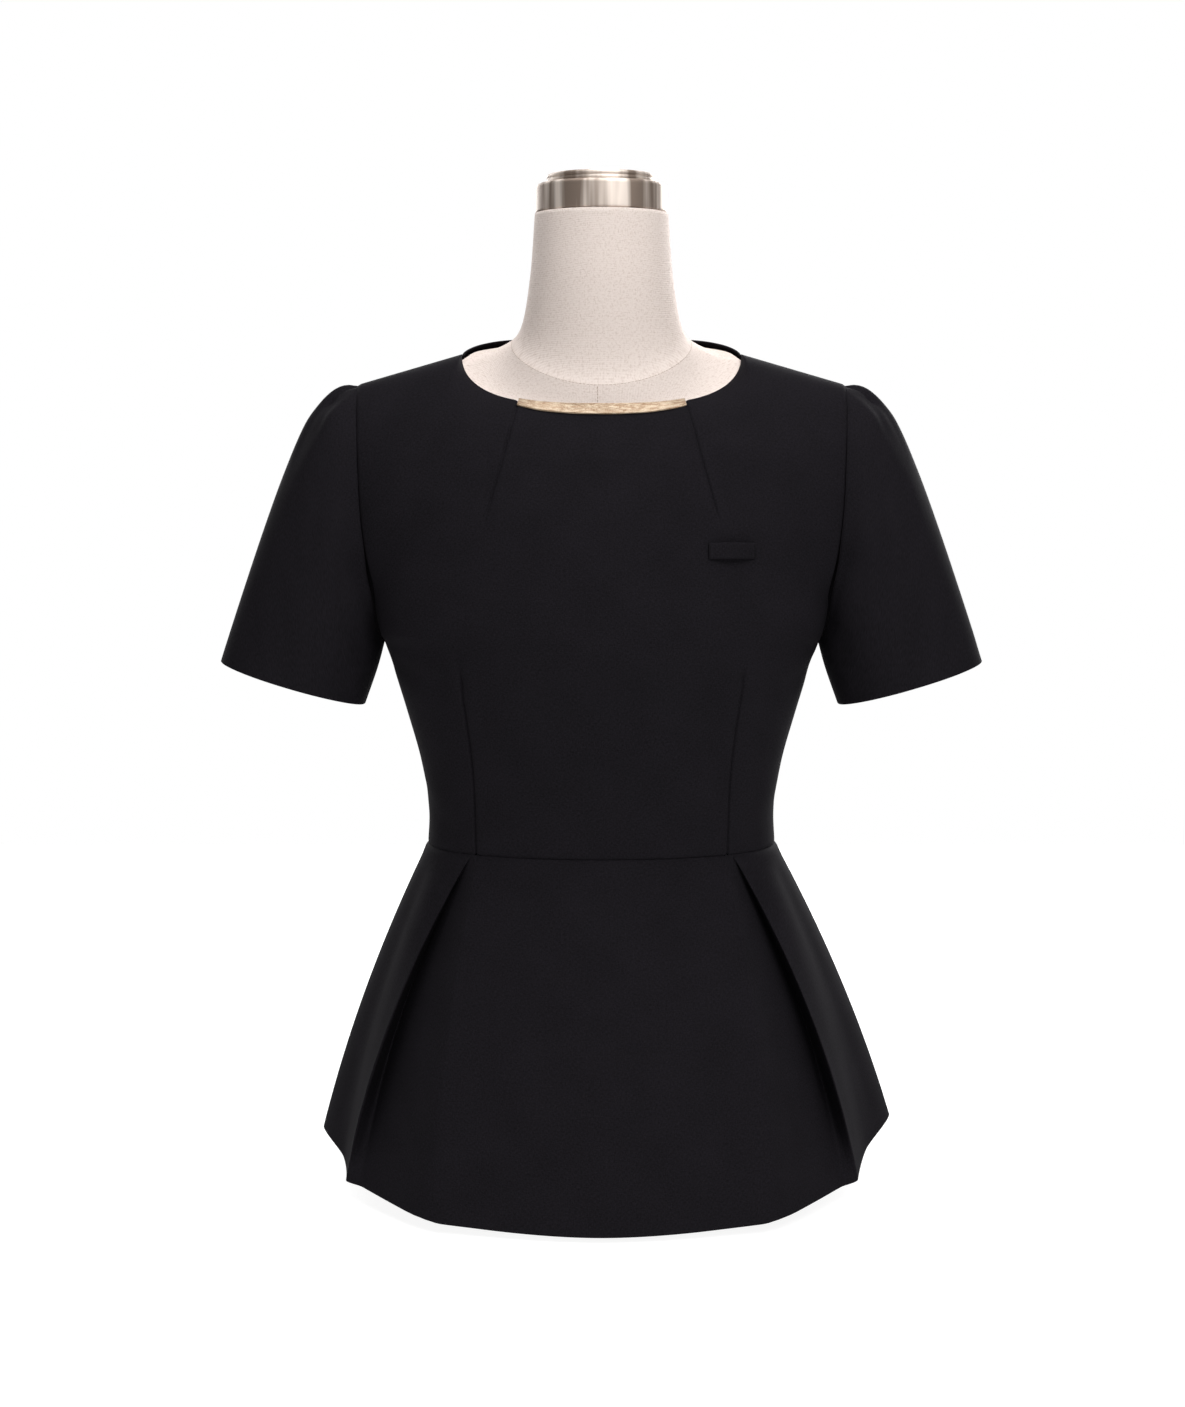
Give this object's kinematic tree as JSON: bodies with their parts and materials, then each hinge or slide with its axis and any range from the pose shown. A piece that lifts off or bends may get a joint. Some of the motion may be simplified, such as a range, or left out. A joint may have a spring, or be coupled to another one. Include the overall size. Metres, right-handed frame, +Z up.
{
  "type": "peplum top on a limbless dress form",
  "caption": "Black short-sleeved peplum top with a boat neck, a pale gold neckline trim and an opened pleat each side, worn on a linen-covered limbless dress form with a steel neck cap.",
  "frame": {"origin": "centre of the dress form's flat base", "axes": "+Z up the form, the front of the top towards -Y, the wearer's left towards +X"},
  "size_m": [0.56, 0.346, 0.7445],
  "materials": {
    "suiting": "matte black woven suiting",
    "gold_weave": "pale gold metallic weave",
    "linen": "natural linen with brown flecks",
    "cap_steel": "brushed",
    "zip_metal": "black enamel"
  },
  "bodies": {
    "top_on_form": {"bodice_front": "suiting", "bodice_back_left": "suiting", "bodice_back_right": "suiting", "neck_trim": "gold_weave", "badge_loop": "suiting", "sleeve_left": "suiting", "sleeve_right": "suiting", "peplum_front": "suiting", "peplum_back_left": "suiting", "peplum_back_right": "suiting", "zip_slider": "zip_metal", "form_torso": "linen", "form_neck_cap_band": "cap_steel", "form_neck_cap_disc": "cap_steel"},
    "zip_pull": {"zip_pull": "zip_metal"}
  },
  "joints": [
    {"name": "pull_hinge", "type": "hinge", "parent": "top_on_form", "child": "zip_pull", "pos_m": [0, 0.07698, 0.60033], "axis": [1, 0, 0], "range_deg": [0, 150]}
  ]
}
